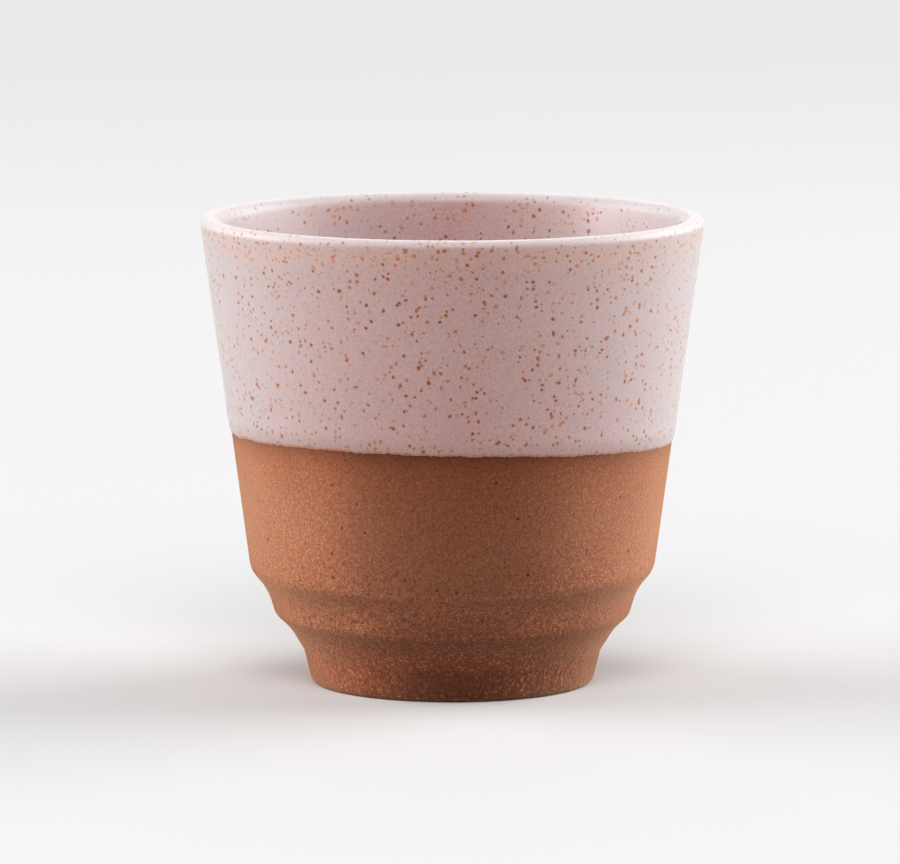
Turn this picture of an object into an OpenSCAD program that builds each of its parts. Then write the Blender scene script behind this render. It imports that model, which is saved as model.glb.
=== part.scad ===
// Handleless cup: one turned stoneware body with a stepped foot, and the two glaze coats fused to it.
// Lengths are in millimetres and angles in degrees. Z is the cup's axis, and the foot stands on Z = 0.

/* [Cup] */
// Diameter across the widest part of the glazed lip
rim_d = 85; // [78:0.5:96]
// Height from the table to the top of the glazed lip
cup_h = 79.3; // [70:0.1:95]
// Thickness of the clay wall, measured level
wall_t = 3; // [2.4:0.1:3.6]
// Thickness of the clay floor over the recess
floor_t = 4.5; // [3.5:0.1:6]
// Radius where the wall rounds into the floor inside
bowl_r = 21; // [17:0.5:24]

/* [Lip] */
// Rounding of the clay lip's outer edge
lip_outer_r = 0.9; // [0.5:0.1:1.1]
// Rounding of the clay lip's inner edge
lip_inner_r = 1.6; // [1:0.1:1.7]

/* [Foot] */
// Diameter of the foot where the body starts
foot_d = 50.3; // [47:0.1:53]
// Diameter of the foot at the table
foot_base_d = 47.6; // [44:0.2:50]
// Height of the foot
foot_h = 5.5; // [4:0.1:6.5]
// Rounding of the foot's outer edge at the table
foot_edge_r = 1.2; // [0.6:0.1:1.5]
// Width of the ring that the cup stands on
foot_ring_w = 4.5; // [3.5:0.1:6]
// Rounding of the ring's inner edge
ring_edge_r = 0.8; // [0.4:0.1:1.2]
// Depth of the recess inside the ring
recess_h = 1.8; // [1:0.1:2.6]
// How far the recess's side leans in
recess_lean = 0.8; // [0.2:0.1:1.5]
// Rounding where the recess's side meets its roof
recess_r = 1; // [0.5:0.1:1.4]

/* [Lower step] */
// Height of the hollow flare over the foot
lower_flare_h = 4; // [3.2:0.1:5]
// Diameter where the flare turns outwards
lower_cove_d = 55.3; // [54:0.1:58]
// Radius of the flare's hollow
lower_cove_r = 8.5; // [4:0.5:12]
// Height from the flare's hollow to the lower shoulder
lower_turn_h = 2.2; // [1.6:0.1:3]
// Diameter at the lower shoulder
lower_shoulder_d = 60.1; // [59:0.1:61.5]
// Rounding of the lower shoulder
lower_shoulder_r = 2.6; // [1:0.1:3]

/* [Upper step] */
// Height of the band between the two steps
band_h = 4.3; // [3.4:0.1:5.2]
// Diameter where the band turns outwards
upper_cove_d = 62.7; // [62:0.1:65]
// Radius of the hollow over the band
upper_cove_r = 10.5; // [6:0.5:14]
// Height from that hollow to the upper shoulder
upper_flare_h = 3.4; // [2.6:0.1:4.4]
// Diameter at the upper shoulder
upper_shoulder_d = 68.4; // [67:0.1:71]
// Rounding of the upper shoulder
upper_shoulder_r = 4.5; // [2:0.5:6]

/* [Glaze] */
// Thickness of the fired glaze
glaze_t = 0.3; // [0.2:0.05:0.5]
// Height of the dip line at the cup's axis
dip_h = 41.7; // [34:0.1:54]
// How steeply the dip line falls from front to back
dip_back_tilt = 2.5; // [0:0.1:5]
// How steeply the dip line falls from left to right
dip_side_tilt = 1.3; // [0:0.1:3]
// Depth inside the lip at which the outer coat meets the inner one
lap_depth = 6; // [4:0.5:12]

/* [Hidden] */
// Facets of a turn in the preview, and steps in each rounded corner
$fn = 180;
corner_steps = 12;
// Least share of an edge that stays straight beside a rounded corner
straight_share = 0.02;
clay_colour = [0.66, 0.37, 0.23];
outer_glaze_colour = [0.85, 0.73, 0.72];
inner_glaze_colour = [0.86, 0.71, 0.70];

// Heights of the turned profile, each one standing on the one below
lower_cove_z = foot_h + lower_flare_h;
lower_shoulder_z = lower_cove_z + lower_turn_h;
upper_cove_z = lower_shoulder_z + band_h;
upper_shoulder_z = upper_cove_z + upper_flare_h;
floor_z = recess_h + floor_t;

// Clay lip: the glaze goes over its top and round its outside.
// The wall's corner there lies a little outside the lip's widest point, by what the rounding takes off.
clay_top_z = cup_h - glaze_t;
clay_rim_r = rim_d / 2 - glaze_t;
wall_h = clay_top_z - upper_shoulder_z;
lean = (clay_rim_r - upper_shoulder_d / 2) / wall_h;
clay_lip_r = clay_rim_r + lip_outer_r * (lean + sqrt(1 + lean * lean) - 1);
clay_mouth_r = clay_lip_r - wall_t;

// The wall above the upper shoulder is one straight taper, inside and outside alike
wall_slope = (clay_lip_r - upper_shoulder_d / 2) / wall_h;
function outer_wall_r(z) = clay_lip_r - wall_slope * (clay_top_z - z);
function inner_wall_r(z) = outer_wall_r(z) - wall_t;

// The outer coat is turned down to below its lowest point, and the dip line then trims it
dip_fall = rim_d / 2 * (tan(dip_back_tilt) + tan(dip_side_tilt));
coat_low_z = dip_h - dip_fall - glaze_t;
lap_z = clay_top_z - lap_depth;
trim_w = 2 * rim_d;

ring_inner_r = foot_base_d / 2 - foot_ring_w;

// A profile point is [radius, height, rounding of the corner there]
foot_points = [
    [0, recess_h, 0],
    [ring_inner_r - recess_lean, recess_h, recess_r],
    [ring_inner_r, 0, ring_edge_r],
    [foot_base_d / 2, 0, foot_edge_r],
    [foot_d / 2, foot_h, 0]
];
step_points = [
    [lower_cove_d / 2, lower_cove_z, lower_cove_r],
    [lower_shoulder_d / 2, lower_shoulder_z, lower_shoulder_r],
    [upper_cove_d / 2, upper_cove_z, upper_cove_r],
    [upper_shoulder_d / 2, upper_shoulder_z, upper_shoulder_r]
];
lip_points = [
    [clay_lip_r, clay_top_z, lip_outer_r],
    [clay_mouth_r, clay_top_z, lip_inner_r]
];
bowl_points = [
    [inner_wall_r(floor_z), floor_z, bowl_r],
    [0, floor_z, 0]
];
lap_point = [inner_wall_r(lap_z), lap_z, 0];
outer_coat_points = concat([[outer_wall_r(coat_low_z), coat_low_z, 0]], lip_points, [lap_point]);
inner_coat_points = concat([lap_point], bowl_points);

// Plane geometry of the profiles
function flat(p) = [p[0], p[1]];
function unit(v) = v / norm(v);
function left_of(v) = [-v[1], v[0]];
function cross2(a, b) = a[0] * b[1] - a[1] * b[0];
function backwards(list) = [for (i = [len(list) - 1 : -1 : 0]) list[i]];

// How far a rounding may reach from point p along its edge to q: half way if q is rounded too
function most_reach(p, q) = norm(flat(q) - flat(p)) * (1 - straight_share) / (q[2] == 0 ? 1 : 2);

// The corner at profile point p, between its neighbours p_in and p_out, as an arc that touches both edges
function corner_arc(p_in, p, p_out) =
    let (
        b = flat(p),
        a = flat(p_in),
        c = flat(p_out),
        to_a = unit(a - b),
        to_c = unit(c - b),
        half = acos(to_a * to_c) / 2,
        reach = min(p[2] / tan(half), most_reach(p, p_in), most_reach(p, p_out)),
        arc_r = reach * tan(half),
        centre = b + unit(to_a + to_c) * arc_r / sin(half),
        from = b + to_a * reach - centre,
        turn = sign(cross2(b - a, c - b)) * (180 - 2 * half)
    )
    [for (i = [0 : corner_steps])
        let (angle = turn * i / corner_steps)
        centre + [
            from[0] * cos(angle) - from[1] * sin(angle),
            from[0] * sin(angle) + from[1] * cos(angle)
        ]
    ];

// A profile with its corners rounded: the two end points stay as they are
function rounded(points) = [
    for (i = [0 : len(points) - 1])
        let (
            p = points[i],
            is_end = i == 0 || i == len(points) - 1,
            arc = is_end || p[2] == 0 ? [flat(p)] : corner_arc(points[i - 1], p, points[i + 1])
        )
        each arc
];

// The profile that lies t to the right of another one, as a coat of even thickness does.
// A corner that the coat goes round on the outside gets a larger rounding, and one inside a smaller.
function coated(points, t) = [
    for (i = [0 : len(points) - 1])
        let (
            before = i == 0 ? undef : unit(flat(points[i]) - flat(points[i - 1])),
            after = i == len(points) - 1 ? undef : unit(flat(points[i + 1]) - flat(points[i])),
            edge_in = is_undef(before) ? after : before,
            edge_out = is_undef(after) ? before : after,
            normal = -left_of(unit(edge_in + edge_out)),
            spread = cos(acos(min(1, edge_in * edge_out)) / 2),
            moved = flat(points[i]) + normal * t / spread,
            bend = sign(cross2(edge_in, edge_out))
        )
        [moved[0], moved[1], max(0, points[i][2] + bend * t)]
];

// The section of a coat that lies on a profile
module coat_section(points, t) {
    polygon(concat(rounded(points), backwards(rounded(coated(points, t)))));
}

// Everything above the plane in which the cup's glaze line lies
module above_dip_line() {
    translate([0, 0, dip_h])
        rotate([-dip_back_tilt, dip_side_tilt, 0])
            translate([-trim_w / 2, -trim_w / 2, 0])
                cube([trim_w, trim_w, trim_w]);
}

// The fired stoneware: foot ring, two turned steps, tapered wall, rounded lip and round-bottomed inside
module clay_body() {
    color(clay_colour)
        rotate_extrude()
            polygon(rounded(concat(foot_points, step_points, lip_points, bowl_points)));
}

// The dipped coat: from the tilted dip line, over the lip and down to the inner coat
module outer_glaze() {
    color(outer_glaze_colour)
        intersection() {
            rotate_extrude()
                coat_section(outer_coat_points, glaze_t);
            above_dip_line();
        }
}

// The poured coat: the inside wall and floor
module inner_glaze() {
    color(inner_glaze_colour)
        rotate_extrude()
            coat_section(inner_coat_points, glaze_t);
}

clay_body();
outer_glaze();
inner_glaze();
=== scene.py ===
# %% [markdown]
# # A dipped stoneware cup
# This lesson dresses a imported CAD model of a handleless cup, so that it looks like fired clay and glaze.
# The real cup is one lump of sandy red clay, turned on a wheel, with two soft steps trimmed over a narrow
# foot. Its inside was lined with satin pink glaze, and it was then held upside down and dipped to half its
# height. The CAD model has the same three pieces: the clay body, the dipped coat and the poured coat.
#
# The lesson has four parts: the camera of the photograph, three fine meshes worked out with numpy, two
# procedural finishes, and a pale table with soft light from both sides.

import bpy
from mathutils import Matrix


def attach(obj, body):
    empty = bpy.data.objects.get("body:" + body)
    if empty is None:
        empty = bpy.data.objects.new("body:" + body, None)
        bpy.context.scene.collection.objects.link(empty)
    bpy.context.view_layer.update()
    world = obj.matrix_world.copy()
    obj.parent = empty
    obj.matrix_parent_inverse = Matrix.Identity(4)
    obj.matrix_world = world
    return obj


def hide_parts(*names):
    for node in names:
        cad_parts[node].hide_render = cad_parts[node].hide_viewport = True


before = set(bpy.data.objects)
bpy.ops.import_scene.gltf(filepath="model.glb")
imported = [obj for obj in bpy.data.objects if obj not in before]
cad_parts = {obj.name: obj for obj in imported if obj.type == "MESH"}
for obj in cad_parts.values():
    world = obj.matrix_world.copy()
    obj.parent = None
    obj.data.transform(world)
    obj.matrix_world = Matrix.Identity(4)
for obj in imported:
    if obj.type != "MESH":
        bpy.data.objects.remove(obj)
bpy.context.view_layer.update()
print("frame nodes:", sorted(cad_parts))

# %% Tools
from types import SimpleNamespace

import bpy
import numpy as np

MM = 0.001
TURN = 2 * np.pi

# %% [markdown]
# ## The camera
# The photograph was taken with a long lens from a little above the table. A camera was fitted to the rim,
# the foot and both outlines. It stands 1.2 m in front of the cup and 0.2 m above the table, and looks down
# by 7.5 degrees. The cup's axis is two pixels right of the middle, so the camera is moved and not turned.

# %% Camera
IMAGE_WIDTH = 900
FOCAL_PIXELS = 7148.2
AXIS_COLUMN = 452.3
CAMERA_DISTANCE = 1200.0
CAMERA_HEIGHT = 200.54
CAMERA_TILT = 7.505

lens = bpy.data.cameras.new("photo_camera")
lens.sensor_fit = "HORIZONTAL"
lens.sensor_width = 36
lens.lens = FOCAL_PIXELS * lens.sensor_width / IMAGE_WIDTH
lens.clip_start = 0.05
lens.clip_end = 20
camera = bpy.data.objects.new("photo_camera", lens)
camera_side = (IMAGE_WIDTH / 2 - AXIS_COLUMN) * CAMERA_DISTANCE / FOCAL_PIXELS
camera.location = (camera_side * MM, -CAMERA_DISTANCE * MM, CAMERA_HEIGHT * MM)
camera.rotation_euler = (np.radians(90 - CAMERA_TILT), 0, 0)
bpy.context.collection.objects.link(camera)
bpy.context.scene.camera = camera
print(f"lens {lens.lens:.1f} mm, camera {camera_side:.2f} mm beside the axis")

# %% [markdown]
# ## The turned profile
# A potter's rib or template is a profile: a line of radius against height that the wheel carries round.
# The same idea makes the mesh. The corners are the CAD model's own, in millimetres, each with the rounding
# that it gets. A subdivision surface would round them too, but not with a radius that can be chosen.

# %% Profile corners
RIM_R = 42.48
CUP_H = 79.3
WALL = 3.0
GLAZE = 0.3
FLOOR_Z = 6.3
RECESS_H = 1.8
SHOULDER = (34.2, 19.4)
LIP_OUTER_R = 0.9
LIP_INNER_R = 1.6

clay_top = CUP_H - GLAZE
# The lip is widest on its rounding, and the wall's line meets the top a little outside of that.
lean = (RIM_R - GLAZE - SHOULDER[0]) / (clay_top - SHOULDER[1])
lip_corner_r = RIM_R - GLAZE + LIP_OUTER_R * (lean + np.hypot(1, lean) - 1)
slope = (lip_corner_r - SHOULDER[0]) / (clay_top - SHOULDER[1])


def wall_r(z):
    """Radius of the clay wall's outside at height z: a straight taper from the upper shoulder to the lip."""
    return lip_corner_r - slope * (clay_top - z)


FOOT = [(0, RECESS_H, 0), (18.5, RECESS_H, 1), (19.3, 0, 0.8), (23.8, 0, 1.2), (25.15, 5.5, 0.3)]
STEPS = [(27.65, 9.5, 8.5), (30.05, 11.7, 2.6), (31.35, 16.0, 10.5), SHOULDER + (4.5,)]
LIP = [(lip_corner_r, clay_top, LIP_OUTER_R), (lip_corner_r - WALL, clay_top, LIP_INNER_R)]
BOWL = [(wall_r(FLOOR_Z) - WALL, FLOOR_Z, 21), (0, FLOOR_Z, 0)]
print(f"wall slope {slope:.4f}, lip corner at {lip_corner_r:.2f} mm")

# %% [markdown]
# Each corner becomes an arc that touches both of its edges. The finished line is then walked along, and a
# point is put down at every step. Short steps go where the eye looks: the trimmed steps, the lip and the
# edge of the glaze. The hidden stretches get long ones, which keeps each piece under 200,000 triangles.

# %% Profile helpers
ARC_STEPS = 24
FINE_POINTS = 4000


def rounded(corners):
    """Profile through the corners (radius, height, rounding). A rounded corner is an arc of that radius. Its
    centre lies on the corner's bisector, at rounding / sin(half the angle) from the corner."""
    points = [np.array(corners[0][:2], float)]
    for before, corner, after in zip(corners, corners[1:], corners[2:]):
        here = np.array(corner[:2], float)
        to_before = np.array(before[:2]) - here
        to_after = np.array(after[:2]) - here
        to_before /= np.hypot(*to_before)
        to_after /= np.hypot(*to_after)
        half = np.arccos(to_before @ to_after) / 2
        bisector = to_before + to_after
        centre = here + bisector / np.hypot(*bisector) * corner[2] / np.sin(half)
        start = here + to_before * corner[2] / np.tan(half) - centre
        turn = np.sign(np.cross(-to_before, to_after)) * (np.pi - 2 * half) * np.linspace(0, 1, ARC_STEPS)
        points += list(centre + np.stack([
            start[0] * np.cos(turn) - start[1] * np.sin(turn),
            start[0] * np.sin(turn) + start[1] * np.cos(turn)], 1))
    return np.array(points + [np.array(corners[-1][:2], float)])


def walked(points, pace):
    """Points along a profile with a changing step: the count of steps up to a place is the integral of
    1 / pace along the line, and a point goes wherever that count is whole."""
    length = np.concatenate([[0], np.cumsum(np.hypot(*np.diff(points, axis=0).T))])
    fine = np.linspace(0, length[-1], FINE_POINTS)
    line = np.stack([np.interp(fine, length, points[:, k]) for k in (0, 1)], 1)
    count = np.concatenate([[0], np.cumsum(np.diff(fine) / pace(line[1:, 0], line[1:, 1]))])
    whole = np.linspace(0, count[-1], int(np.ceil(count[-1])) + 1)
    return np.stack([np.interp(whole, count, line[:, k]) for k in (0, 1)], 1)


def normals_of(points):
    """Unit normals of a profile that runs anticlockwise round its solid: its tangents turned right."""
    tangent = np.gradient(points, axis=0)
    tangent /= np.hypot(tangent[:, 0], tangent[:, 1])[:, None]
    return np.stack([tangent[:, 1], -tangent[:, 0]], 1)


# %% [markdown]
# Nothing on a real cup is perfectly round. The glaze line wanders by a tenth or two of a millimetre, and
# the trimmed steps are never quite even. Both come from the same small tool: a sum of waves that run round
# the cup a whole number of times, so that the surface always closes on itself.

# %% Waves round the cup
def waves(theta, z, seed, rounds, tall, count=24):
    """Smooth random relief of about unit size: the sum of count waves cos(n theta + k z + phase), with n
    whole numbers up to rounds, and k up to 2 pi / tall. The seed fixes them."""
    rng = np.random.default_rng(seed)
    n = rng.integers(1, rounds + 1, count) * rng.choice([-1, 1], count)
    k = rng.uniform(0, TURN / tall, count)
    phase = rng.uniform(0, TURN, count)
    total = np.zeros(np.broadcast(theta, z).shape)
    for i in range(count):
        total += np.cos(n[i] * theta + k[i] * z + phase[i])
    return total / np.sqrt(count / 2)


def hump(value, middle, width):
    """1 at the middle, and less to both sides: exp(-((value - middle) / width)^2)."""
    return np.exp(-((value - middle) / width) ** 2)


# %% [markdown]
# ## The glaze line
# The cup was dipped by hand and a little askew, so the line where the glaze ends is a tilted plane: it is
# highest at the front and on the left. The plane is the CAD model's. Small waves are added to it, longer
# ones where the glaze ran and short ones where it caught on the sandy clay.

# %% Glaze line
DIP_H = 41.7
DIP_BACK = np.tan(np.radians(2.5))
DIP_SIDE = np.tan(np.radians(1.3))
SAME_AT_ALL_HEIGHTS = 1e9
EDGE_WAVES = ((0.06, 11, 9), (0.045, 12, 46), (0.035, 13, 160), (0.045, 14, 330))


def line_z(theta):
    """Height of the glaze's edge round the cup: the dip plane taken at the wall's radius, plus the waves, of
    which each row of EDGE_WAVES gives the size in millimetres, the seed and the rounds."""
    line = DIP_H - wall_r(DIP_H) * (DIP_SIDE * np.cos(theta) + DIP_BACK * np.sin(theta))
    for size, seed, rounds in EDGE_WAVES:
        line = line + size * waves(theta, np.zeros_like(theta), seed, rounds, tall=SAME_AT_ALL_HEIGHTS)
    return line


# %% [markdown]
# ## From profile to mesh
# Every piece of the cup is a grid of points: the rows run along the profile and the columns run round the
# axis. One function turns such a grid into a mesh. A body whose profile starts and ends on the axis gets a
# single point at each end, and a coat whose profile is a loop has its last row joined to its first.

# %% Grid to mesh
def turned_mesh(name, grid, loop=False):
    """Mesh of a grid of points in millimetres, rows x columns x 3. Columns close round the axis. With loop,
    the rows close too. Without it, the first and last rows lie on the axis and shrink to one point each, and
    their unused points are left out. Gives the piece, and which points of the grid it uses."""
    rows, columns = grid.shape[:2]
    index = np.arange(rows * columns).reshape(rows, columns)
    beside = np.roll(index, -1, axis=1)
    if loop:
        above, above_beside = np.roll(index, -1, axis=0), np.roll(beside, -1, axis=0)
        quads = np.stack([index, beside, above_beside, above], -1).reshape(-1, 4)
        faces = quads.tolist()
    else:
        inner, inner_beside = index[1:-1], beside[1:-1]
        quads = np.stack([inner[:-1], inner_beside[:-1], inner_beside[1:], inner[1:]], -1).reshape(-1, 4)
        low = np.stack([np.full(columns, index[0, 0]), beside[1], index[1]], -1)
        high = np.stack([index[-2], beside[-2], np.full(columns, index[-1, 0])], -1)
        faces = low.tolist() + quads.tolist() + high.tolist()
    parts = (faces[:columns], faces[columns:-columns], faces[-columns:])
    used = np.unique(np.concatenate([np.ravel(part) for part in parts]))
    order = np.full(rows * columns, -1)
    order[used] = np.arange(len(used))
    mesh = bpy.data.meshes.new(name)
    mesh.from_pydata((grid.reshape(-1, 3)[used] * MM).tolist(), [], [order[f].tolist() for f in faces])
    mesh.shade_smooth()
    mesh.validate()
    piece = bpy.data.objects.new(name, mesh)
    bpy.context.collection.objects.link(piece)
    triangles = sum(len(p.vertices) - 2 for p in mesh.polygons)
    print(f"{name}: {len(used)} points, {triangles} triangles")
    return piece, used


def keep_line_distance(piece, values):
    """Stores each point's height over the glaze line, in millimetres, as the attribute line_mm."""
    attribute = piece.data.attributes.new("line_mm", "FLOAT", "POINT")
    attribute.data.foreach_set("value", values.astype(np.float32))


def around(columns):
    """The columns' angles, as one row."""
    return np.arange(columns)[None, :] * TURN / columns


def carried(radius, height, theta):
    """Grid of points from radii, heights and angles: (radius cos theta, radius sin theta, height)."""
    return np.stack([radius * np.cos(theta), radius * np.sin(theta), height + 0 * theta], -1)


# %% [markdown]
# ## The clay body
# The body is turned like the real one, in a single sweep: out from the middle of the recess, over the foot
# ring, up both steps and the wall, over the lip and down the inside. Turning leaves it round to a few
# hundredths of a millimetre. The trimming tool skips on the coarse grains, so the steps waver a little up
# and down and get a finer relief. All of this fades out at the foot's base, which stays flat.

# %% Steps and relief of the clay
BARE_TOP = 46.0
STEPS_DEPTH = 8.0
ABOVE_BASE = 0.02
CLAY_LIP_H = 4.0
BARE_STEP, LIP_STEP, HIDDEN_STEP = 0.38, 0.6, 4.8
WANDER, WANDER_TOP = 0.02, 60.0
TORN_RELIEF = 0.012
STEP_WAVER = 0.07
FADE_H = 1.5


def clay_pace(r, z):
    """Step along the clay's profile: short on the bare outside, whose steps and foot stand up to STEPS_DEPTH
    inside the line of the wall, and long under the glaze and underneath."""
    outside = r > wall_r(z) - WALL / 2 - STEPS_DEPTH * (z < SHOULDER[1])
    bare = outside & (z < BARE_TOP) & (z > ABOVE_BASE)
    return np.where(bare, BARE_STEP, np.where(z > clay_top - CLAY_LIP_H, LIP_STEP, HIDDEN_STEP))


def wander(theta, z):
    """How far the wall is out of round, in millimetres: a few slow waves."""
    return WANDER * waves(theta, z, seed=21, rounds=5, tall=60)


def clay_wall_r(theta, z):
    """Radius of the clay wall where the dipped coat lies on it: the taper and, low down, its wander."""
    return wall_r(z) + wander(theta, z) * (z < WANDER_TOP)


# %% Clay body mesh
CLAY_COLUMNS = 480
RELIEF_FROM_R = 23.0

clay_line = walked(rounded(FOOT + STEPS + LIP + BOWL), clay_pace)
clay_theta = around(CLAY_COLUMNS)
clay_r, clay_z = clay_line[:, :1], clay_line[:, 1:]
on_walls = (clay_r > RELIEF_FROM_R) & (clay_z < WANDER_TOP)
rising = np.clip(clay_z / FADE_H, 0, 1) * on_walls
on_steps = rising * hump(clay_z, middle=12, width=7)
torn = rising * hump(clay_z, middle=4, width=12)
relief = (rising * wander(clay_theta, clay_z)
          + torn * TORN_RELIEF * waves(clay_theta, clay_z, seed=22, rounds=150, tall=1.4, count=96))
waver = on_steps * STEP_WAVER * waves(clay_theta, clay_z, seed=23, rounds=7, tall=25)
clay, used = turned_mesh("clay", carried(clay_r + relief, clay_z + waver, clay_theta))
keep_line_distance(clay, (clay_z - line_z(clay_theta)).ravel()[used])

# %% [markdown]
# ## The dipped coat
# A satin glaze hardly runs, so its dipped edge is no fat drop: it thins out over a couple of millimetres.
# The coat is a closed loop: up the outside from its edge, over the lip, a little way down the inside, and
# back along the clay. Its lower rows are stretched from the wavy line up to a level ring, so the edge
# follows every wave. A Solidify modifier would give an even coat with a square edge, which can't thin out.
# The back is hidden a little way inside the clay, so it takes only every third or fourth row. An extra row
# close beside the inner end keeps the shading true up to the seam with the poured coat.

# %% Sizes and thickness of the dipped coat
LEVEL_Z = 52.0
LAP_Z = clay_top - 6.0
SINK = 0.08
SEAM_SHARE = 0.02
FEATHER = 2.4
SWELL, SWELL_AT = 0.12, 2.9
UNEVEN = 0.04
COAT_LIP_H = 3.0
COAT_LIP_STEP, COAT_WALL_STEP = 0.22, 0.76


def feathered(distance):
    """Thickness of the coat at a distance from its edge: a parabola that reaches the full coat after FEATHER
    millimetres, with a faintly swollen stretch behind it."""
    rise = 1 - (1 - np.clip(distance / FEATHER, 0, 1)) ** 2
    return GLAZE * rise * (1 + SWELL * hump(distance, SWELL_AT, 1.0))


def coat_pace(r, z):
    """Step along the coat: short over the lip."""
    return np.where(z > clay_top - COAT_LIP_H, COAT_LIP_STEP, COAT_WALL_STEP)


# %% Lower rows, from the wavy edge to a level ring
COAT_COLUMNS = 720
NEAR_EDGE = 4.0

theta = around(COAT_COLUMNS)
# Eight rows in the first 0.6 mm, where the coat is thinnest, three more up to 1 mm, and eight up to 4 mm.
from_edge = np.concatenate([np.linspace(0, 0.6, 9)[:-1], np.geomspace(0.6, 1, 4)[:-1],
                            np.linspace(1, NEAR_EDGE, 9)[:-1]])[:, None]
share = np.linspace(0, 1, 10)[:-1, None]
edge = line_z(theta)
low_z = np.concatenate([edge + from_edge, edge + NEAR_EDGE + (LEVEL_Z - edge - NEAR_EDGE) * share])
low_r = clay_wall_r(theta, low_z)
low_t = feathered(low_z - edge)
print("rows from the edge to the level ring:", len(low_z))

# %% Upper rows, over the lip and down to the lap
upper_corners = [(wall_r(LEVEL_Z), LEVEL_Z, 0)] + LIP + [(wall_r(LAP_Z) - WALL, LAP_Z, 0)]
upper = walked(rounded(upper_corners), coat_pace)
upper = np.insert(upper, -1, upper[-1] + SEAM_SHARE * (upper[-2] - upper[-1]), axis=0)
upper_n = normals_of(upper)
settle = np.clip((WANDER_TOP - upper[:, 1:]) / (WANDER_TOP - LEVEL_Z), 0, 1)
upper_r = upper[:, :1] + settle * wander(theta, np.full_like(theta, LEVEL_Z))
uneven = np.clip(waves(theta, upper[:, 1:], seed=31, rounds=14, tall=20), -1, 1)
thick = GLAZE * (1 - UNEVEN + UNEVEN * uneven)
print("rows over the lip:", len(upper))

# %% Close the dipped coat
UPPER_SKIP, LOWER_SKIP = 3, 4

tilt = np.arctan(slope)
outer_r = np.concatenate([low_r + low_t * np.cos(tilt), upper_r + upper_n[:, :1] * thick])
outer_z = np.concatenate([low_z - low_t * np.sin(tilt), upper[:, 1:] + upper_n[:, 1:] * thick])
back = np.arange(len(upper))[::-UPPER_SKIP]
under_r = np.concatenate([upper_r[back] - upper_n[back, :1] * SINK, low_r[::-LOWER_SKIP] - SINK])
under_z = np.concatenate([(upper[:, 1:] + 0 * theta)[back] - upper_n[back, 1:] * SINK, low_z[::-LOWER_SKIP]])
coat_r, coat_z = np.concatenate([outer_r, under_r]), np.concatenate([outer_z, under_z])
coat, used = turned_mesh("dipped_glaze", carried(coat_r, coat_z, theta), loop=True)
keep_line_distance(coat, (coat_z - edge).ravel()[used])

# %% [markdown]
# ## The poured coat
# The inside was lined first: glaze was poured in, swirled and poured out. It meets the dipped coat a little
# below the lip, where the two melted into one surface, so both have the same face at the seam. It covers
# the whole bowl and has no edge of its own, so its distance from one is a length that no pattern reaches.

# %% Poured coat rows
POURED_STEP = 0.85

inner_corners = [(wall_r(LAP_Z) - WALL, LAP_Z, 0)] + BOWL
inner = walked(rounded(inner_corners), lambda r, z: np.full_like(r, POURED_STEP))
inner = np.insert(inner, 1, inner[0] + SEAM_SHARE * (inner[1] - inner[0]), axis=0)
inner_n = normals_of(inner)
inner_n[-1] = (0, 1)
face = inner + inner_n * GLAZE
face[-1, 0] = 0
hidden = (inner - inner_n * SINK)[::-2]
hidden[0, 0] = 0
print("poured coat rows:", len(face), len(hidden))

# %% Close the poured coat
NO_EDGE = 40.0
POURED_COLUMNS = 480

rows = np.concatenate([hidden, face])
poured_theta = around(POURED_COLUMNS)
poured, used = turned_mesh("poured_glaze", carried(rows[:, :1], rows[:, 1:], poured_theta))
keep_line_distance(poured, np.full(len(used), NO_EDGE))

# %% [markdown]
# ## Shader maths
# A finish is a small programme of noise, distances and mixes. Written as nodes it is hard to read, so one
# class wraps a socket and gives it the usual operators, and one method adds any other node.

# %% Sockets with operators
class Socket:
    """A node's output that can be added, subtracted, multiplied, divided and raised like a number."""

    def __init__(self, finish, output):
        self.finish, self.output = finish, output

    def maths(self, operation, first, second):
        return self.finish.node("ShaderNodeMath", {"operation": operation}, {0: first, 1: second})

    def __add__(self, other):
        return self.maths("ADD", self, other)

    def __radd__(self, other):
        return self.maths("ADD", other, self)

    def __sub__(self, other):
        return self.maths("SUBTRACT", self, other)

    def __rsub__(self, other):
        return self.maths("SUBTRACT", other, self)

    def __mul__(self, other):
        return self.maths("MULTIPLY", self, other)

    def __rmul__(self, other):
        return self.maths("MULTIPLY", other, self)

    def __truediv__(self, other):
        return self.maths("DIVIDE", self, other)

    def __pow__(self, other):
        return self.maths("POWER", self, other)

    def larger(self, other):
        return self.maths("MAXIMUM", self, other)

    def smaller(self, other):
        return self.maths("MINIMUM", self, other)

    def exponent(self):
        """e to the power of this value."""
        return self.finish.node("ShaderNodeMath", {"operation": "EXPONENT"}, {0: self})

    def beside(self, name):
        """Another output of the same node."""
        return Socket(self.finish, self.output.node.outputs[name])


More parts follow.
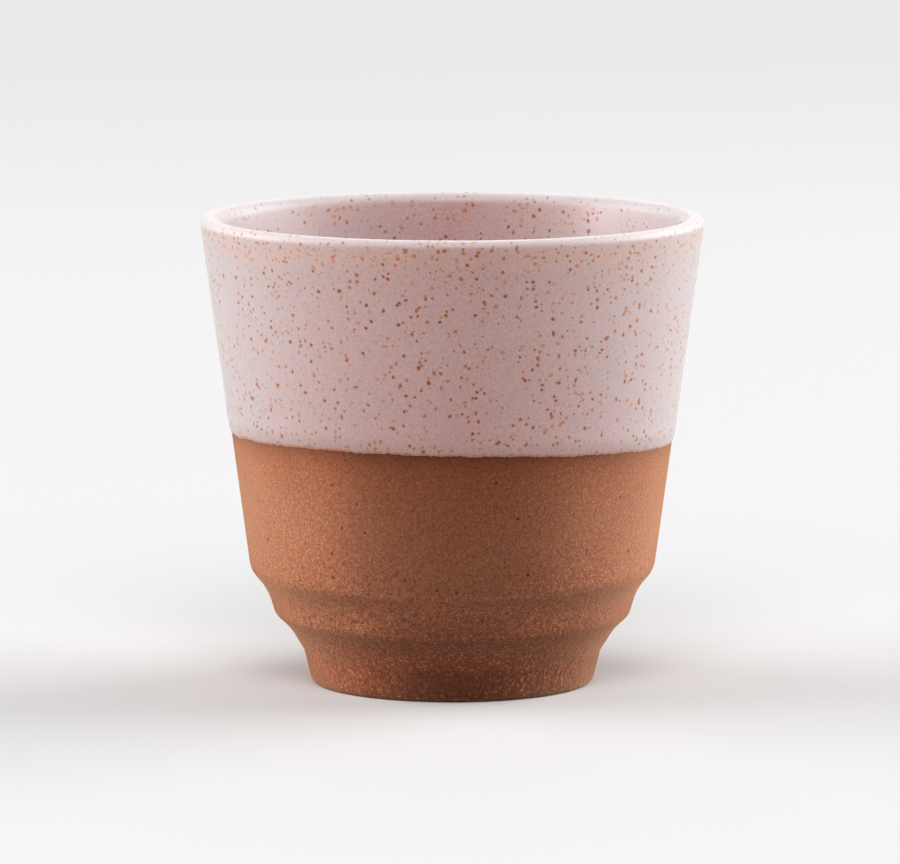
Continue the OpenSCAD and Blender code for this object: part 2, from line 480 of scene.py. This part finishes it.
# %% One finish
class Finish:
    """One material: its nodes are added by the method node, and links are made from Socket values."""

    def __init__(self, name):
        self.material = bpy.data.materials.new(name)
        self.material.use_nodes = True
        self.tree = self.material.node_tree
        self.tree.nodes.clear()

    def node(self, kind, settings=None, inputs=None, output=0):
        """Adds a node of that type: its settings, then its sockets by name or number. Gives one output."""
        made = self.tree.nodes.new(kind)
        for key, value in (settings or {}).items():
            setattr(made, key, value)
        for key, value in (inputs or {}).items():
            if isinstance(value, Socket):
                self.tree.links.new(value.output, made.inputs[key])
            else:
                made.inputs[key].default_value = value
        return Socket(self, made.outputs[output])

    def surface(self, **inputs):
        """The Principled surface with the given sockets, joined to the material's output."""
        sockets = {name.replace("_", " "): value for name, value in inputs.items()}
        self.node_output(self.node("ShaderNodeBsdfPrincipled", {}, sockets))
        return self.material

    def node_output(self, shader):
        """Joins a shader to the material's output."""
        end = self.tree.nodes.new("ShaderNodeOutputMaterial")
        self.tree.links.new(shader.output, end.inputs["Surface"])


# %% [markdown]
# Patterns are measured in millimetres on the cup itself, from its Object coordinates. A few helpers cover
# most of what fired clay needs: cloudy noise, a soft step between two values, a ridge round a value, a mix
# of two colours, and a tint that darkens a colour without hiding what is already painted.

# %% Points on the cup
def place(finish):
    """The point on the cup, in millimetres."""
    point = finish.node("ShaderNodeTexCoord", {}, {}, "Object")
    return finish.node("ShaderNodeVectorMath", {"operation": "SCALE"}, {0: point, "Scale": 1 / MM})


def along(finish, point, axis):
    """The point's place along one axis: X runs to the right, Y to the back and Z up."""
    return finish.node("ShaderNodeSeparateXYZ", {}, {0: point}, axis)


def across(finish, point):
    """The point's place across the cup: its height left out."""
    return finish.node("ShaderNodeVectorMath", {"operation": "MULTIPLY"}, {0: point, 1: (1, 1, 0)})


def from_axis(finish, point):
    """The point's distance from the cup's axis: the length of its place across the cup."""
    return finish.node("ShaderNodeVectorMath", {"operation": "LENGTH"}, {0: across(finish, point)}, "Value")


def moved(finish, point, offset, by=1.0):
    """A point moved by an offset vector times a number."""
    scaled = finish.node("ShaderNodeVectorMath", {"operation": "SCALE"}, {0: offset, "Scale": by})
    return finish.node("ShaderNodeVectorMath", {"operation": "ADD"}, {0: point, 1: scaled})


def line_distance(finish):
    """Height over the glaze line in millimetres, from the attribute that each mesh carries."""
    return finish.node("ShaderNodeAttribute", {"attribute_name": "line_mm"}, {}, "Fac")


def facing(finish):
    """0 where the surface looks at the eye, 1 at its outline: one minus the cosine of the angle between."""
    return finish.node("ShaderNodeLayerWeight", {}, {"Blend": 0.5}, "Facing")


# %% Patterns
def noise(finish, point, size, detail=2.0, output=0, rough=0.5):
    """Cloudy noise from 0 to 1 whose blotches are about size millimetres across."""
    sockets = {"Vector": point, "Scale": 1 / size, "Detail": detail, "Roughness": rough}
    return finish.node("ShaderNodeTexNoise", {}, sockets, output)


def step(finish, value, low, high):
    """0 below low, 1 above high, and a smooth rise between them. With low above high it falls instead."""
    return finish.node("ShaderNodeMapRange", {"interpolation_type": "SMOOTHSTEP"},
                       {"Value": value, "From Min": low, "From Max": high})


def ridge(finish, value, middle, width):
    """1 at the middle, and less to both sides: exp(-((value - middle) / width)^2)."""
    off = (value - middle) / width
    return (off * off * -1.0).exponent()


def raised(finish, height, depth_mm):
    """A bumpy normal: the given height pattern, depth_mm millimetres deep."""
    return finish.node("ShaderNodeBump", {}, {"Strength": 1.0, "Distance": depth_mm * MM, "Height": height})


# %% Colours
def colour(red, green, blue):
    """A colour given as it looks on screen, 0 to 255, in Blender's linear values."""
    share = np.array([red, green, blue]) / 255
    linear = np.where(share <= 0.04045, share / 12.92, ((share + 0.055) / 1.055) ** 2.4)
    return (*linear.tolist(), 1.0)


def mixed(finish, share, first, second, blend="MIX"):
    """Two colours mixed by share."""
    return finish.node("ShaderNodeMix", {"data_type": "RGBA", "blend_type": blend},
                       {0: share, 6: first, 7: second}, 2)


def tinted(finish, share, body, tint):
    """A colour times a tint, by share: the colour * (1 - share + share * tint)."""
    return mixed(finish, share, body, tint, "MULTIPLY")


# %% [markdown]
# ## Specks in the glaze
# The brown specks are grains of iron that melted into the glaze. Some lie near the surface and look dark and
# sharp, others lie deeper and are only an orange stain. They sit alone, in pairs and in short chains. A
# Voronoi pattern gives one grain to each cell of about a millimetre, with random numbers for its size and
# strength. To make the chains, the same pattern is looked up again a millimetre or so to one side, and the
# side drifts slowly over the cup.

# %% Speck helper
def grains(finish, point, cell, chance, smallest, largest, soft):
    """One layer of round grains: where the surface cuts a ball round a cell's own point. A grain's radius
    runs from smallest to largest. Gives the cover from 0 to 1, and the cell's random number for its
    strength."""
    distance = finish.node("ShaderNodeTexVoronoi", {"feature": "F1", "voronoi_dimensions": "3D"},
                           {"Vector": point, "Scale": 1 / cell, "Randomness": 1.0}, "Distance")
    draw = finish.node("ShaderNodeSeparateColor", {}, {0: distance.beside("Color")}, "Red")
    kept = finish.node("ShaderNodeMath", {"operation": "LESS_THAN"}, {0: draw, 1: chance})
    radius = draw.beside("Green") * (largest - smallest) + smallest
    cover = step(finish, radius - distance * cell, 0.0, soft)
    return cover * kept, draw.beside("Blue")


# %% [markdown]
# ## The satin pink glaze
# The coat is a cloudy, milky pink over red clay. It drains off the lip, so just under it the glaze is thin
# and peach, and the iron shows more. The lip's crest gets a pale painted highlight, and its specks are
# painted fainter under it. The inside gets a grey painted shade, strongest at its left and right ends, and
# lower down a painted shade deepens the pink. Along the dipped edge the coat thins out to beige. The gloss
# is satin, and a little drier on the lip. Towards the outline the colour is mixed to a paler grey, a
# painted sheen.
#
# Each of these places is a mask, worked out once from the point on the cup. Painted textures would need an
# unwrapped cup with a seam down its back, and masks in millimetres need none.

# %% Places on the glaze
LIP_CREST_DEPTH = (0.2, 2.6)
THIN_START = (0.9, 2.2)
THIN_END = (2.6, 5.2)
STARVED_REACH = (0.4, 3.2)
LOW_SHADE_RANGE = (42, 66)


def places_on_glaze(finish):
    """Masks from 0 to 1: inside the cup, a painted shade lower down, a painted sheen towards the outline, on
    the crest of the lip, a painted shade at the left and right ends, small clouds, thin just under the lip,
    and starved along the dipped edge."""
    at = SimpleNamespace(point=place(finish), edge_mm=line_distance(finish))
    height, side = along(finish, at.point, "Z"), along(finish, at.point, "X")
    middle_of_wall = height * slope + (wall_r(0.0) - WALL / 2)
    at.inside = step(finish, middle_of_wall - from_axis(finish, at.point), 0.2, 1.4)
    # Painted shade: lower down.
    at.sunk = 1 - step(finish, height, *LOW_SHADE_RANGE)
    # Painted sheen: how far the surface is turned towards its outline.
    at.milky = facing(finish) ** (0.5 - at.inside * 0.12) * (0.76 + at.inside * 0.24)
    under_lip = CUP_H - height
    at.crest = 1 - step(finish, under_lip, *LIP_CREST_DEPTH)
    # Squares of the distance aside: the painted shade at the inside's ends begins 23 to 32 mm from the
    # middle, and sooner on the crest. The right end is half as strong as the left one.
    far_aside = step(finish, side * side + at.crest * 400.0, 550, 1050)
    at.ends = far_aside * (1 - step(finish, side, -10, 10) * 0.5)
    at.small = step(finish, noise(finish, at.point, size=1.8, detail=3), 0.3, 0.7)
    thin_ends = step(finish, under_lip - at.small * 1.5, *THIN_END)
    at.thin = step(finish, under_lip, *THIN_START) * (1 - thin_ends)
    at.starved = 1 - step(finish, at.edge_mm, *STARVED_REACH)
    return at


# %% Ground colour of the glaze
ROSE, ROSE_PALE = colour(222, 170, 164), colour(218, 177, 173)
ROSE_WARM, ROSE_DEEP = colour(224, 166, 159), colour(202, 151, 146)
# Painted shade inside, lower down and at the inside's ends; painted sheen at the outline; a painted
# highlight on the lip.
INSIDE_SHADE_TINT, LOW_SHADE_TINT, END_SHADE_TINT = colour(224, 222, 227), colour(250, 240, 240), colour(239, 239, 240)
GLAZE_SHEEN_OUTSIDE, GLAZE_SHEEN_INSIDE, LIP_HIGHLIGHT = colour(214, 212, 213), colour(202, 192, 193), colour(219, 210, 211)
PEACH, BEIGE = colour(235, 190, 166), colour(206, 156, 139)


def glaze_ground(finish, at):
    """The pink without its iron: clouds of two roses, a mealy grain, then each place in its own colour, with
    painted shade inside and lower down, a painted sheen at the outline and a painted highlight on the lip.
    """
    clouds = step(finish, noise(finish, at.point, size=13, detail=3), 0.34, 0.66)
    mealy = step(finish, noise(finish, at.point, size=0.38, detail=2), 0.35, 0.65)
    body = mixed(finish, clouds, ROSE, ROSE_PALE)
    body = mixed(finish, at.small * 0.3, body, ROSE_WARM)
    body = mixed(finish, mealy * 0.9, body, ROSE_DEEP)
    # Painted shade: the inside is made greyer.
    body = tinted(finish, at.inside, body, INSIDE_SHADE_TINT)
    # Painted shade: lower down the pink is made a little deeper.
    body = tinted(finish, at.sunk, body, LOW_SHADE_TINT)
    # Painted sheen: towards the outline the colour is mixed to a paler grey.
    body = mixed(finish, at.milky, body, mixed(finish, at.inside, GLAZE_SHEEN_OUTSIDE, GLAZE_SHEEN_INSIDE))
    # Painted highlight: the lip's crest is mixed to a pale grey, more towards the outline.
    body = mixed(finish, at.crest * (0.35 + at.milky * 0.5), body, LIP_HIGHLIGHT)
    # Painted shade: the inside's left and right ends are made darker.
    body = tinted(finish, at.ends * at.inside, body, END_SHADE_TINT)
    body = mixed(finish, at.thin * (1 - at.inside * 0.8) * (0.15 + clouds * 0.25), body, PEACH)
    return mixed(finish, at.starved * 0.25, body, BEIGE)


# %% [markdown]
# A layer of small faint stains lies deepest. Three layers of stronger specks lie over it: each is the same
# pattern, moved by a chain's step, and each next one is rarer, so that most chains are short. A speck is an
# orange stain with a dark core. Towards the outline and on the lip's crest it is painted paler, with the
# painted sheen and highlight there.

# %% Iron specks
FAINT_CELL, FAINT_SIZES = 0.95, (0.16, 0.4)
SPECK_CELL, SPECK_SIZES = 1.16, (0.24, 0.48)
# Each row of the chain is a step in millimetres, and the chance that a cell has its grain there.
CHAIN_STEPS = (((-1, -1, -1), 0.68), ((0.1, -1.3, 0.2), 0.4), ((-1.5, 0.1, -0.3), 0.2))
FAINT_OUTSIDE, FAINT_INSIDE = colour(214, 138, 54), colour(196, 132, 60)
STAIN_WEAK, STAIN_STRONG, STAIN_THIN = colour(212, 122, 22), colour(198, 104, 4), colour(222, 116, 10)
IRON, IRON_UNDER_SHEEN, IRON_INSIDE_TINT = colour(136, 58, 0), colour(216, 122, 20), colour(226, 246, 250)


def iron_colour(finish, at, cover, power):
    """A stain, and a core whose share is cover^2.5 times the grain's strength."""
    stain = mixed(finish, step(finish, power, -0.1, 0.5), STAIN_WEAK, STAIN_STRONG)
    stain = mixed(finish, at.thin * 0.8, stain, STAIN_THIN)
    core = mixed(finish, cover ** 2.5 * step(finish, power, 0.1, 0.9), stain, IRON)
    # Painted sheen: towards the outline, outside the cup, the core is made paler.
    core = mixed(finish, at.milky * (1 - at.inside) * 0.5, core, IRON_UNDER_SHEEN)
    return tinted(finish, at.inside, core, IRON_INSIDE_TINT)


def iron_specks(finish, at, body):
    """The glaze with its iron, and the cover of the rarest specks, whose gloss is a little drier."""
    ragged = moved(finish, at.point, noise(finish, at.point, size=0.7, detail=1, output="Color"), 0.14)
    drift = noise(finish, moved(finish, at.point, (40, 0, 0)), size=6, detail=1, output="Color")
    crowd = step(finish, noise(finish, moved(finish, at.point, (0, 30, 0)), size=5, detail=1), 0.3, 0.7)
    # Painted highlight: on the lip's crest the specks are made fainter.
    calm_lip = 1 - at.crest * 0.4
    faint, _ = grains(finish, moved(finish, at.point, (9, 7, 3)), FAINT_CELL, 0.7, *FAINT_SIZES, 0.3)
    faint_colour = mixed(finish, at.inside, FAINT_OUTSIDE, FAINT_INSIDE)
    body = mixed(finish, faint * (0.34 + at.thin * 0.46) * calm_lip, body, faint_colour)
    for chain_step, chance in CHAIN_STEPS:
        shifted = moved(finish, moved(finish, ragged, drift, 2.0), chain_step)
        likely = (at.thin * 0.2 + chance) * (0.7 + crowd * 0.6) * (1 - at.inside * 0.35)
        cover, power = grains(finish, shifted, SPECK_CELL, likely, *SPECK_SIZES, 0.22)
        power = power - at.thin * 0.3
        # Painted sheen: towards the outline the specks are made fainter.
        seen_through_sheen = 1 - at.milky * (0.1 - at.inside * 0.05)
        share = cover * (0.55 + step(finish, power, -0.1, 0.8) * 0.43) * seen_through_sheen * calm_lip
        body = mixed(finish, share, body, iron_colour(finish, at, cover, power))
    return body, cover


# %% [markdown]
# At the dipped edge the thin glaze lets the grit of the clay through, and its last fraction of a millimetre
# is bitten away unevenly and has the clay's own colour.

# %% Dipped edge and whole glaze
GRIT, BITTEN_RIM = colour(140, 88, 66), colour(204, 128, 88)


def dipped_edge(finish, at, body):
    """Grit in the starved stretch, and a clay-coloured rim whose upper end the noise moves up and down."""
    grit = step(finish, noise(finish, at.point, size=0.28, detail=1), 0.56, 0.68)
    bitten = noise(finish, at.point, size=0.45, detail=1) * 0.9 - 0.2
    rim = 1 - step(finish, at.edge_mm - bitten, 0.0, 0.22)
    body = mixed(finish, grit * at.starved * 0.25, body, GRIT)
    return mixed(finish, rim * 0.85, body, BITTEN_RIM)


def pink_glaze(name):
    """The speckled satin glaze, used for both coats so that they match at their seam."""
    finish = Finish(name)
    at = places_on_glaze(finish)
    body, speck = iron_specks(finish, at, glaze_ground(finish, at))
    body = dipped_edge(finish, at, body)
    pebbled = raised(finish, noise(finish, at.point, size=0.5, detail=2), depth_mm=0.02)
    return finish.surface(Base_Color=body, Roughness=0.34 + at.crest * 0.14 + speck * 0.15, Normal=pebbled,
                          IOR=1.45, Sheen_Weight=0.2, Sheen_Roughness=0.7, Sheen_Tint=colour(255, 255, 255))


dipped_finish = pink_glaze("dipped_pink_glaze")
poured_finish = pink_glaze("poured_pink_glaze")
print("glaze nodes:", len(dipped_finish.node_tree.nodes))

# %% [markdown]
# ## The sandy stoneware
# Bare stoneware is matt and sandy. Its red-brown ground holds dark and pale sand and grog, which is crushed
# fired clay, and small dark pinholes where a grain fell out. The trimming tool tore the lower part, most of
# all on the left, so it is coarser there, with a row of pores along the crease over the foot. The clay just
# under the glaze line fired darker. Painted shade darkens the lower part, a patch on the right, the clay
# under the steps, the lower hollow, the foot and its flank on the right, and the hem. Towards its outline
# the clay is painted paler, a painted sheen.

# %% Places on the clay
CREASE_H = 5.5
HOLLOW_H = 10.6
SHADE_PATCH_CENTRE = (24, -30, 27)


def places_on_clay(finish):
    """Masks from 0 to 1: broad clouds, trimmed and low down, torn on the left; for painted shade a patch,
    the clay under the steps, the lower hollow, the foot, its right flank and its hem; the crease; and the
    outlines for a painted sheen."""
    at = SimpleNamespace(point=place(finish))
    height, side = along(finish, at.point, "Z"), along(finish, at.point, "X")
    from_shade_patch = finish.node("ShaderNodeVectorMath", {"operation": "DISTANCE"},
                             {0: at.point, 1: SHADE_PATCH_CENTRE}, "Value")
    at.broad = step(finish, noise(finish, at.point, size=15, detail=3), 0.32, 0.68)
    at.trimmed = 1 - step(finish, height, 10, 34)
    at.torn_side = at.trimmed * step(finish, side, 4, -22)
    # Also a painted shade towards the bottom.
    at.low = 1 - step(finish, height, 3, 16)
    # Painted shade: a patch on the right, under the steps, in the hollow, on the foot, its flank and its
    # hem.
    at.patch = step(finish, from_shade_patch, 33, 8)
    at.under_steps = (1 - step(finish, height, 15, 20)) * step(finish, side, -24, -4)
    at.hollow = ridge(finish, height, middle=HOLLOW_H, width=1.7)
    at.foot = (1 - step(finish, height, 3, 11)) * step(finish, side, -22, 4)
    at.flank = (1 - step(finish, height, 7, 18)) * step(finish, side, 8, 24)
    at.hem = 1 - step(finish, height, 0.4, 3.2)
    at.crease = ridge(finish, height, middle=CREASE_H, width=0.5)
    # Painted sheen: how far the surface is turned towards its outline.
    at.dusty = step(finish, facing(finish), 0.02, 0.3)
    return at


# %% Ground colour of the clay
# The third colour is a painted shade towards the bottom.
FIRED_RED, FIRED_WARM, CLAY_LOW_SHADE = colour(148, 87, 57), colour(156, 94, 63), colour(220, 166, 104)
SAND_SHADE, GRAVEL_SHADE, GRAVEL_LIGHT = colour(92, 46, 28), colour(92, 44, 27), colour(206, 146, 104)
# Tints of painted shade: a patch, under the steps, the hollow, the foot and the hem.
PATCH_SHADE_TINT, UNDER_STEPS_SHADE_TINT = colour(228, 225, 225), colour(234, 230, 230)
HOLLOW_SHADE_TINT, FOOT_SHADOW_TINT, HEM_SHADE_TINT = colour(228, 214, 206), colour(186, 170, 158), colour(212, 206, 200)


def fired_ground(finish, at, sand, gravel):
    """Two reds in broad clouds, a painted shade towards the bottom, shaded between the sand grains, painted
    shade at the patch, under the steps, in the hollow, on the foot and at the hem, and light and shade
    between the coarse grains where the tool tore the clay."""
    body = mixed(finish, at.broad, FIRED_RED, FIRED_WARM)
    # Painted shade: darker towards the bottom.
    body = tinted(finish, at.low, body, CLAY_LOW_SHADE)
    body = mixed(finish, step(finish, sand, 0.6, 0.3) * 0.34, body, SAND_SHADE)
    # Painted shade: the patch, under the steps, the hollow, the foot and the hem.
    for share, tint in ((at.patch, PATCH_SHADE_TINT), (at.under_steps, UNDER_STEPS_SHADE_TINT), (at.hollow, HOLLOW_SHADE_TINT),
                        (at.foot, FOOT_SHADOW_TINT), (at.hem, HEM_SHADE_TINT)):
        body = tinted(finish, share, body, tint)
    shade = step(finish, gravel, 0.55, 0.35) * (at.trimmed * 0.6 + at.torn_side * 0.2)
    body = mixed(finish, shade, body, GRAVEL_SHADE)
    return mixed(finish, step(finish, gravel, 0.5, 0.68) * at.torn_side * 0.2, body, GRAVEL_LIGHT)


# %% [markdown]
# Towards its outline the clay is painted paler, a painted sheen: the colour is multiplied by a number above
# one there. The number is warmer on the trimmed part, whose torn grains are redder.

# %% Painted sheen at the outline
SHEEN_NEAR, SHEEN_FAR = (1.72, 1.8, 1.86, 1.0), (1.74, 2.0, 2.3, 1.0)
SHEEN_TRIMMED = (1.76, 1.28, 0.9, 1.0)
NO_SHEEN = (1.0, 1.0, 1.0, 1.0)


def with_painted_sheen(finish, at, body):
    """The colour times the painted sheen's colour, which is one where the surface looks at the eye."""
    dust = mixed(finish, step(finish, facing(finish), 0.3, 0.8), SHEEN_NEAR, SHEEN_FAR)
    dust = mixed(finish, at.trimmed, dust, SHEEN_TRIMMED)
    dust = mixed(finish, at.dusty, NO_SHEEN, dust)
    return finish.node("ShaderNodeVectorMath", {"operation": "MULTIPLY"}, {0: body, 1: dust})


# %% [markdown]
# The sand is two layers of the same round grains as the iron, one to each cell, and a random number makes
# each of them dark or light. A fine noise between them is the crumb of the clay, and the pale grog is a
# sparser layer. Pinholes and pores are the same grains once more, painted dark. The sand, the grog and the
# holes also go into the relief, so that light from the side picks them out.

# %% Sand and grog
# A layer of grains is its cell, chance, smallest and largest radius, and the softness of its edge.
SAND = (0.46, 1.0, 0.2, 0.34, 0.16)
SAND_OFFSETS = ((0, 0, 0), (4, 1, 7))
GROG_CELL, GROG_SIZES = 0.72, (0.08, 0.24)
GRAIN_DARK, GRAIN_LIGHT = colour(84, 46, 34), colour(226, 154, 110)
FINE_SHADE, CRUMB, CRUMB_LOW = colour(92, 54, 42), colour(222, 196, 180), colour(216, 150, 100)
# The flank's tint is a painted shade.
FLANK_SHADE_TINT = colour(220, 194, 182)


def sanded(finish, at, body):
    """The clay with two layers of sand grains, dark or light by their random number, a finer crumb, and pale
    grog. Towards the outline their shares change, part of the painted sheen. The right flank's painted shade
    comes last, so that its grains darken too. Gives the colour and the grog's cover, which the relief uses."""
    for offset in SAND_OFFSETS:
        grain, shade = grains(finish, moved(finish, at.point, offset), *SAND)
        # Towards the outline the grains' shares change, part of the painted sheen.
        dark = step(finish, shade, 0.5, 0.0) * (0.3 + at.trimmed * (0.35 + at.dusty * 0.2) - at.dusty * 0.1)
        lit_tips = at.dusty * (0.05 + at.trimmed * 0.42)
        light = step(finish, shade, 0.5, 1.0) * (0.03 + at.trimmed * 0.05 + lit_tips)
        body = mixed(finish, grain * dark, body, GRAIN_DARK)
        body = mixed(finish, grain * light, body, GRAIN_LIGHT)
    fine = noise(finish, at.point, size=0.3, detail=1)
    crumb = mixed(finish, at.low, CRUMB, CRUMB_LOW)
    # Towards the outline the crumb and the grog are painted stronger, part of the painted sheen.
    tips = step(finish, fine, 0.5, 0.75) * (0.1 - at.low * 0.06 + at.dusty * 0.26)
    body = mixed(finish, step(finish, fine, 0.5, 0.25) * 0.42, body, FINE_SHADE)
    body = mixed(finish, tips, body, crumb)
    grog, power = grains(finish, at.point, GROG_CELL, 0.3 + at.trimmed * 0.3, *GROG_SIZES, 0.14)
    body = mixed(finish, grog * power * (0.22 - at.low * 0.1 + at.trimmed * at.dusty * 0.3), body, crumb)
    # Painted shade on the right flank, over the grains.
    return tinted(finish, at.flank, body, FLANK_SHADE_TINT), grog


# %% Pinholes and pores
PITS, PITS_OFFSET = (0.85, 0.3, 0.08, 0.2, 0.12), (7, 2, 4)
PORES, PORES_OFFSET = (1.9, 0.42, 0.14, 0.38, 0.16), (5, 0, 9)
TORN, TORN_OFFSET = (0.7, 0.45, 0.1, 0.26, 0.1), (0, 6, 2)
PIT, HOLE = colour(70, 36, 24), colour(50, 26, 20)


def holed(finish, at, body):
    """The clay with shallow pits, deep pores, and torn ones where the crease crosses a broad cloud. Gives
    the colour and the cover of the deep and torn ones, which the relief uses."""
    pits, power = grains(finish, moved(finish, at.point, PITS_OFFSET), *PITS)
    body = mixed(finish, pits * power * 0.6, body, PIT)
    pores, _ = grains(finish, moved(finish, at.point, PORES_OFFSET), *PORES)
    torn, _ = grains(finish, moved(finish, at.point, TORN_OFFSET), *TORN)
    holes = pores.larger(torn * at.crease * at.broad)
    return mixed(finish, holes * 0.9, body, HOLE), holes


# %% [markdown]
# Water and soluble salts soak out of the wet glaze into the clay beside it, so the clay just under its edge
# fires darker. Two bands do this, and both fade as exp(distance / reach): a narrow dark one, and a wide warm
# one.

# %% Darker band and whole stoneware
BANDS = ((1.6, colour(178, 176, 176)), (7.0, colour(238, 201, 172)))


def banded(finish, body):
    """The clay with its two bands. Over the glaze line, where the clay is hidden, they are full."""
    below = line_distance(finish).smaller(0.0)
    for reach, tint in BANDS:
        body = tinted(finish, (below / reach).exponent(), body, tint)
    return body


def stoneware(name):
    """Matt sandy clay: ground colour, dust, sand and grog, pinholes, and the dark bands under the glaze."""
    finish = Finish(name)
    at = places_on_clay(finish)
    sand = noise(finish, at.point, size=0.65, detail=2, rough=0.6)
    gravel = noise(finish, at.point, size=0.8, detail=3, rough=0.65)
    body = with_painted_sheen(finish, at, fired_ground(finish, at, sand, gravel))
    body, grog = sanded(finish, at, body)
    body, holes = holed(finish, at, body)
    coarse = at.trimmed * 5.0 + at.torn_side * 3.0
    relief = raised(finish, sand * 0.6 + gravel * coarse + grog * 0.4 - holes * 2.4, depth_mm=0.05)
    return finish.surface(Base_Color=banded(finish, body), Roughness=0.75 + sand * 0.1, Normal=relief,
                          IOR=1.3, Sheen_Weight=1.0, Sheen_Roughness=0.5, Sheen_Tint=colour(240, 182, 144))


clay_finish = stoneware("sandy_stoneware")
print("stoneware nodes:", len(clay_finish.node_tree.nodes))

# %% [markdown]
# ## Join the pieces to the frame
# Each mesh stands for one CAD node and rides on the cup's only body.

# %% Ride, replace and dress
for piece, node, slot, finish in ((clay, "clay_body", "stoneware", clay_finish),
                                  (coat, "outer_glaze", "outer_glaze", dipped_finish),
                                  (poured, "inner_glaze", "inner_glaze", poured_finish)):
    piece.data.materials.append(finish)
    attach(piece, "root")
    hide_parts(node)
    print(piece.name, "stands for", node)

# %% [markdown]
# ## Table and backdrop
# A pale table that bends up into a pale wall, with no edge between them, is what a product photographer
# uses. It is one sheet: a flat stretch, a quarter turn and a wall, far enough back for a camera to stand in
# front of it on any side. The cup gets its light from below off a grey sheet, so its foot stays dark. The
# camera and reflections see a paler sheet, which away from the cup is mostly a glow of its own. The glow
# fades out towards the cup, so the shadow shows.

# %% Table and backdrop
TABLE_FRONT, TABLE_SIDE = -260.0, 2500.0
BEND_START, BEND_R = 1400.0, 500.0
WALL_TOP = 5000.0
BEND_POINTS = 24

bend = np.linspace(0, np.pi / 2, BEND_POINTS)
sweep = np.concatenate([
    [[TABLE_FRONT, 0]],
    np.stack([BEND_START + BEND_R * np.sin(bend), BEND_R * (1 - np.cos(bend))], 1),
    [[BEND_START + BEND_R, WALL_TOP]]])
sides = np.array([-TABLE_SIDE, TABLE_SIDE])
sheet = np.stack([sides + 0 * sweep[:, :1], sweep[:, :1] + 0 * sides, sweep[:, 1:] + 0 * sides], -1)
strip = np.arange(len(sweep) * 2).reshape(-1, 2)
quads = np.stack([strip[:-1, 0], strip[:-1, 1], strip[1:, 1], strip[1:, 0]], -1)
sheet_mesh = bpy.data.meshes.new("table_sheet")
sheet_mesh.from_pydata((sheet.reshape(-1, 3) * MM).tolist(), [], quads.tolist())
sheet_mesh.shade_smooth()
table = bpy.data.objects.new("table_sheet", sheet_mesh)
bpy.context.collection.objects.link(table)
print("table sheet:", len(quads), "faces")

# %% Table finish
TABLE_OWN, TABLE_SEEN, TABLE_GLOW = colour(112, 109, 109), colour(218, 217, 217), colour(247, 247, 248)
GLOW_RANGE = (30, 240)
GLOW_SHARE = 0.8

pale = Finish("pale_table")
camera_ray = pale.node("ShaderNodeLightPath", {}, {}, "Is Camera Ray")
seen = camera_ray.larger(camera_ray.beside("Is Glossy Ray"))
far = step(pale, from_axis(pale, place(pale)), *GLOW_RANGE)
matt = pale.node("ShaderNodeBsdfPrincipled", {}, {
    "Base Color": mixed(pale, seen, TABLE_OWN, TABLE_SEEN), "Roughness": 0.7, "IOR": 1.3})
glow = pale.node("ShaderNodeEmission", {}, {"Color": TABLE_GLOW, "Strength": 1.0})
pale.node_output(pale.node("ShaderNodeMixShader", {}, {0: seen * far * GLOW_SHARE, 1: matt, 2: glow}))
table.data.materials.append(pale.material)
print("table nodes:", len(pale.tree.nodes))

# %% [markdown]
# ## Soft light
# The photograph was lit by daylight from both sides, so the front of the cup is its darkest part. Two large
# lamps stand for the windows, one in front for the ceiling, and a weak one for what comes from behind. A
# narrow pane shows in the gloss alone.

# %% Lamps
LAMP_DISTANCE = 1.4
AIM_HEIGHT = 0.04


def lamp(name, azimuth, elevation, size, power, distance=LAMP_DISTANCE):
    """A lamp of that width and height, that far from the cup and aimed at its middle. Azimuth 0 is where the
    camera stands, and it grows to the right. Lengths are in metres, angles in degrees and power in watts."""
    light = bpy.data.lights.new(name, "AREA")
    light.shape = "RECTANGLE"
    light.size, light.size_y = size
    light.energy = power
    a, e = np.radians(azimuth), np.radians(elevation)
    lamp_object = bpy.data.objects.new(name, light)
    lamp_object.location = (distance * np.cos(e) * np.sin(a), -distance * np.cos(e) * np.cos(a),
                            distance * np.sin(e) + AIM_HEIGHT)
    lamp_object.rotation_euler = (np.pi / 2 - e, 0, a)
    bpy.context.collection.objects.link(lamp_object)
    return lamp_object


lamp("left_window", azimuth=-99, elevation=22, size=(1.4, 1.1), power=23.6)
lamp("right_window", azimuth=110, elevation=22, size=(1.3, 1.1), power=28)
lamp("front_ceiling", azimuth=0, elevation=40, size=(0.8, 0.8), power=13.2)
lamp("back_window", azimuth=180, elevation=38, size=(0.9, 0.5), power=0.8, distance=0.9)
pane = lamp("window_pane", azimuth=-84, elevation=14, size=(0.25, 0.5), power=4.0)
pane.visible_diffuse = False

# %% [markdown]
# The world is nearly dark to the cup, a little brighter in its gloss, and white to the camera, which sees it
# past the edge of the table sheet. Light Path tells which of the three is asking.

# %% World
WORLD_TO_CUP = 0.03
WORLD_IN_GLOSS = 0.3
WORLD_TO_CAMERA = 0.95

world = bpy.data.worlds.new("soft_daylight")
world.use_nodes = True
nodes, links = world.node_tree.nodes, world.node_tree.links
background = nodes["Background"]
background.inputs["Color"].default_value = (1, 1, 1, 1)
asking = nodes.new("ShaderNodeLightPath")
fill = nodes.new("ShaderNodeMapRange")
fill.inputs["To Min"].default_value = WORLD_TO_CUP
fill.inputs["To Max"].default_value = WORLD_IN_GLOSS
strength = nodes.new("ShaderNodeMix")
strength.inputs[3].default_value = WORLD_TO_CAMERA
links.new(asking.outputs["Is Glossy Ray"], fill.inputs["Value"])
links.new(asking.outputs["Is Camera Ray"], strength.inputs[0])
links.new(fill.outputs["Result"], strength.inputs[2])
links.new(strength.outputs[0], background.inputs["Strength"])
bpy.context.scene.world = world
bpy.context.scene.view_settings.view_transform = "Standard"
print("world nodes:", len(nodes))
